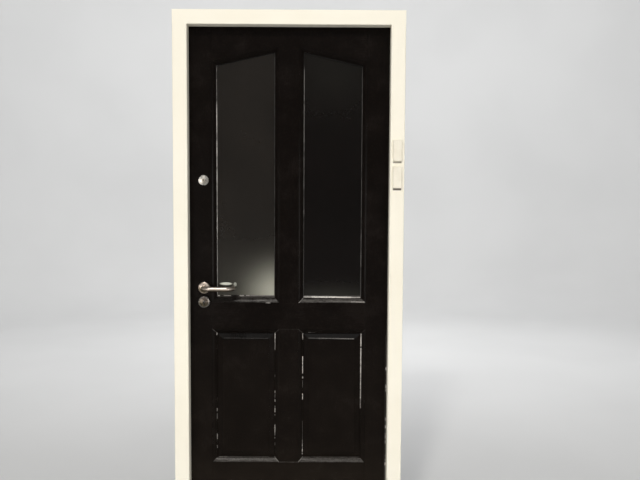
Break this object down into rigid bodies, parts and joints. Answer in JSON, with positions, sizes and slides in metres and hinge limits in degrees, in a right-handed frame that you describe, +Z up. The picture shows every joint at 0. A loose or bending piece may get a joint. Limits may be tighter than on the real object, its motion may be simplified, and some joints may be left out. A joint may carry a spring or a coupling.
{
  "type": "panelled front door",
  "caption": "Part-glazed panelled timber front door in its rebated frame, inward opening, with lever sashlock, rim night latch and butt hinges.",
  "frame": {"origin": "under the middle of the sill, on its underside, in the plane of the frame's outer face", "axes": "+X right as seen from outside, +Y inwards through the doorway, +Z up; the leaf is hung on the +X side and opens towards +Y"},
  "size_m": [0.909, 0.1895, 2.142],
  "materials": {
    "leaf_paint": "black gloss paint on timber",
    "frame_paint": "cream satin paint on timber",
    "pane_glass": "smooth tinted glass",
    "satin_steel": "satin",
    "hinge_steel": "satin",
    "plug_brass": "worn satin",
    "case_enamel": "satin enamel",
    "knob_metal": "satin plated",
    "white_plastic": "satin",
    "seal_rubber": "matt",
    "bar_metal": "mill finish"
  },
  "bodies": {
    "frame": {"sill": "frame_paint", "water_bar": "bar_metal", "head": "frame_paint", "weather_seal": "seal_rubber", "lock_jamb": "frame_paint", "hinge_jamb": "frame_paint", "mortice_keep": "satin_steel", "night_latch_keep": "case_enamel", "lower_jamb_box": "white_plastic", "upper_jamb_box": "white_plastic", "bottom_hinge_frame_plate": "hinge_steel", "middle_hinge_frame_plate": "hinge_steel", "top_hinge_frame_plate": "hinge_steel", "hinge_pins": "hinge_steel"},
    "leaf": {"lock_stile": "leaf_paint", "hinge_stile": "leaf_paint", "top_rail": "leaf_paint", "lock_rail": "leaf_paint", "bottom_rail": "leaf_paint", "upper_muntin": "leaf_paint", "lower_muntin": "leaf_paint", "left_panel": "leaf_paint", "right_panel": "leaf_paint", "left_weather_bead": "leaf_paint", "right_weather_bead": "leaf_paint", "left_bottom_bead": "leaf_paint", "left_muntin_bead": "leaf_paint", "left_top_bead": "leaf_paint", "left_stile_bead": "leaf_paint", "right_bottom_bead": "leaf_paint", "right_muntin_bead": "leaf_paint", "right_top_bead": "leaf_paint", "right_stile_bead": "leaf_paint", "left_glass": "pane_glass", "right_glass": "pane_glass", "outer_lever_rose": "satin_steel", "inner_lever_rose": "satin_steel", "outer_escutcheon": "satin_steel", "inner_escutcheon": "satin_steel", "cylinder_ring": "satin_steel", "cylinder_body": "satin_steel", "lock_forend": "satin_steel", "bottom_hinge_leaf_plate": "hinge_steel", "middle_hinge_leaf_plate": "hinge_steel", "top_hinge_leaf_plate": "hinge_steel", "night_latch_case": "case_enamel", "lock_case": "case_enamel"},
    "lever_set": {"outer_lever": "satin_steel", "inner_lever": "satin_steel", "spindle": "satin_steel", "follower": "knob_metal"},
    "latch": {"latch_bolt": "satin_steel"},
    "dead": {"deadbolt": "satin_steel"},
    "knob": {"night_latch_knob": "knob_metal"},
    "night_bolt": {"night_latch_bolt": "satin_steel"},
    "plug": {"cylinder_plug": "plug_brass"},
    "snib": {"night_latch_snib": "knob_metal"}
  },
  "joints": [
    {"name": "leaf_swing", "type": "hinge", "parent": "frame", "child": "leaf", "pos_m": [0.408, 0.101, 1.078], "axis": [0, 0, -1], "range_deg": [0, 110]},
    {"name": "lever_turn", "type": "hinge", "parent": "leaf", "child": "lever_set", "pos_m": [-0.3415, 0.072, 1.05], "axis": [0, 1, 0], "range_deg": [0, 45], "stiffness_Nm_per_rad": 1.5, "springref_deg": -40.11},
    {"name": "latch_slide", "type": "slide", "parent": "leaf", "child": "latch", "axis": [1, 0, 0], "range_m": [0, 0.0122]},
    {"name": "deadbolt_slide", "type": "slide", "parent": "leaf", "child": "dead", "axis": [-1, 0, 0], "range_m": [0, 0.02]},
    {"name": "knob_turn", "type": "hinge", "parent": "leaf", "child": "knob", "pos_m": [-0.3415, 0.072, 1.482], "axis": [0, 1, 0], "range_deg": [0, 60], "stiffness_Nm_per_rad": 0.3, "springref_deg": -40.11},
    {"name": "night_bolt_slide", "type": "slide", "parent": "leaf", "child": "night_bolt", "axis": [1, 0, 0], "range_m": [0, 0.0142]},
    {"name": "plug_turn", "type": "hinge", "parent": "leaf", "child": "plug", "pos_m": [-0.3415, 0.072, 1.482], "axis": [0, 1, 0], "range_deg": [0, 90]},
    {"name": "snib_slide", "type": "slide", "parent": "leaf", "child": "snib", "axis": [1, 0, 0], "range_m": [0, 0.008]}
  ],
  "couplings": [
    {"joint": "latch_slide", "follows": "lever_turn", "m_per_rad": 0.015279},
    {"joint": "night_bolt_slide", "follows": "knob_turn", "m_per_rad": 0.013369}
  ]
}
